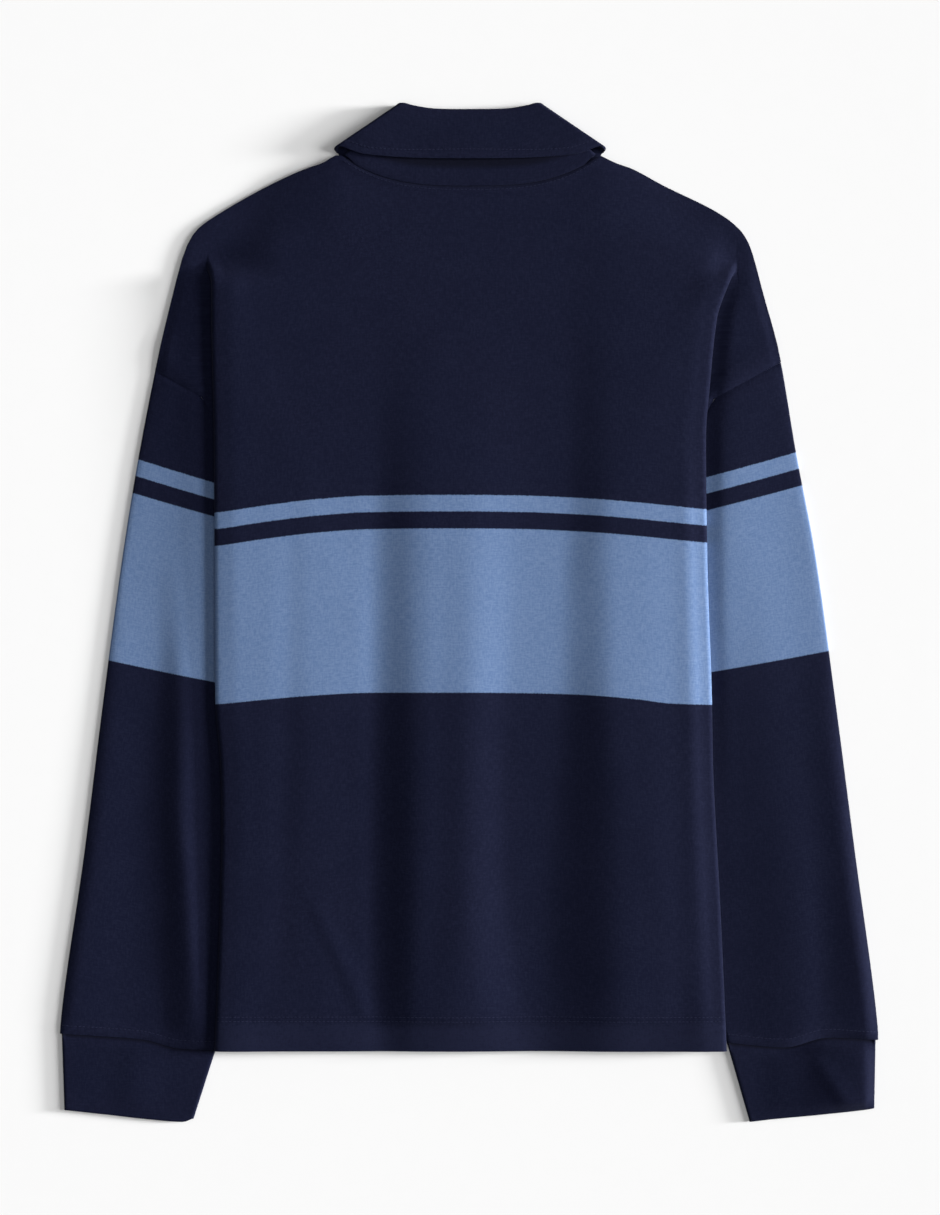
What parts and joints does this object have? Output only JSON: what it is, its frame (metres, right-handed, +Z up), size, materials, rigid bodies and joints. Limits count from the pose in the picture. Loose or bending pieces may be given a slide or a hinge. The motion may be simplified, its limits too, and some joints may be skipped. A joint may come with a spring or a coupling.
{
  "type": "long-sleeved polo shirt laid flat, back up",
  "caption": "Long-sleeved polo shirt laid flat with its back up, its sides folded under, turned-down collar on a deep stand, dropped shoulders and plain cuffs.",
  "frame": {"origin": "on the surface that the shirt lies on, below the middle of its outline", "axes": "+X across the shirt to the picture's right, +Y along the body towards the collar, +Z up out of the surface, from the hidden front to the back that shows"},
  "size_m": [0.6301, 0.785, 0.0169],
  "materials": {
    "body_jersey": "matt navy cotton jersey with light-blue stripes",
    "cuff_jersey": "matt navy cotton jersey, doubled",
    "collar_jersey": "matt navy cotton jersey, doubled and topstitched",
    "button_plastic": "dark dyed plastic"
  },
  "bodies": {
    "root": {"back": "body_jersey", "front": "body_jersey", "sleeve_left": "body_jersey", "sleeve_right": "body_jersey", "cuff_left": "cuff_jersey", "cuff_right": "cuff_jersey", "collar_stand": "collar_jersey", "collar_leaf": "collar_jersey", "placket_over": "body_jersey", "placket_under": "body_jersey", "button_1": "button_plastic", "button_2": "button_plastic", "button_3": "button_plastic"}
  },
  "joints": []
}
